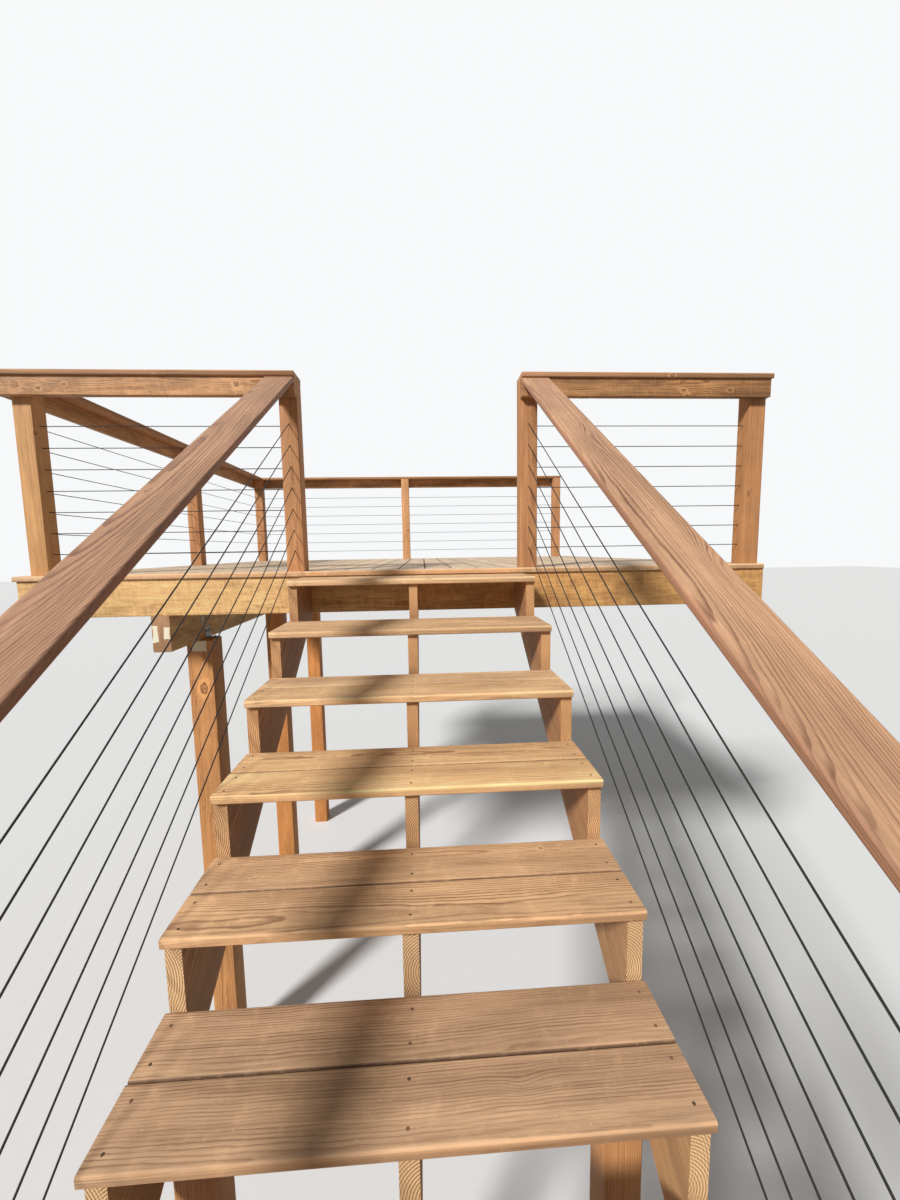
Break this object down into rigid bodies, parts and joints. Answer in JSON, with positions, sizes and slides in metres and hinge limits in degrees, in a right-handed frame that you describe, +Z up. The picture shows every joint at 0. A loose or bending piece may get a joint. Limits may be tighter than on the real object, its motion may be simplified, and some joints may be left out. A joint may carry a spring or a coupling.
{
  "type": "deck with stair",
  "caption": "Raised timber deck against a wall with a straight open-riser stair, sawn stringers, board handrails and cable-railed posts.",
  "frame": {"origin": "middle of the ledger's face against the wall", "axes": "+X points into the wall, +Z is up, and the stair drops towards -Y"},
  "size_m": [3.797, 8.156, 4.07],
  "materials": {
    "tread_boards": "stained decking boards, satin, worn at the nosing",
    "deck_boards": "stained decking boards, sun-bleached",
    "rail_boards": "stained boards, satin",
    "rail_edges": "stained two-by lumber, matte",
    "stringers": "stained two-by lumber with open end grain",
    "support_posts": "stained square posts, matte",
    "rail_posts": "stained square posts, matte",
    "framing": "rough-sawn lumber, matte",
    "cables": "stranded stainless wire rope, dulled"
  },
  "bodies": {
    "root": {"back_cables": "cables", "back_cap": "rail_boards", "back_corner_post": "rail_posts", "back_end_post": "rail_posts", "back_middle_post": "rail_posts", "back_rail_board": "rail_edges", "back_rim": "framing", "beam_inner_ply": "framing", "beam_outer_ply": "framing", "beam_posts": "support_posts", "beam_spacer": "framing", "deck_boards": "deck_boards", "deck_border_boards": "deck_boards", "foot_newels": "rail_posts", "front_cables": "cables", "front_caps": "rail_boards", "front_corner_post": "rail_posts", "front_rail_boards": "rail_edges", "front_rim": "framing", "front_wall_post": "rail_posts", "joists": "framing", "left_handrail": "rail_boards", "left_stair_cables": "cables", "left_stringer": "stringers", "middle_newels": "rail_posts", "middle_stringer": "stringers", "outer_rim": "framing", "right_handrail": "rail_boards", "right_stair_cables": "cables", "right_stringer": "stringers", "side_cables": "cables", "side_cap": "rail_boards", "side_middle_post": "rail_posts", "side_rail_board": "rail_edges", "stair_crossbeam": "framing", "stair_posts": "support_posts", "top_newels": "rail_posts", "tread_01": "tread_boards", "tread_02": "tread_boards", "tread_03": "tread_boards", "tread_04": "tread_boards", "tread_05": "tread_boards", "tread_06": "tread_boards", "tread_07": "tread_boards", "tread_08": "tread_boards", "tread_09": "tread_boards", "tread_10": "tread_boards", "tread_11": "tread_boards", "tread_12": "tread_boards", "tread_13": "tread_boards", "tread_14": "tread_boards", "tread_15": "tread_boards", "tread_16": "tread_boards", "tread_17": "tread_boards", "wall_ledger": "framing"}
  },
  "joints": []
}
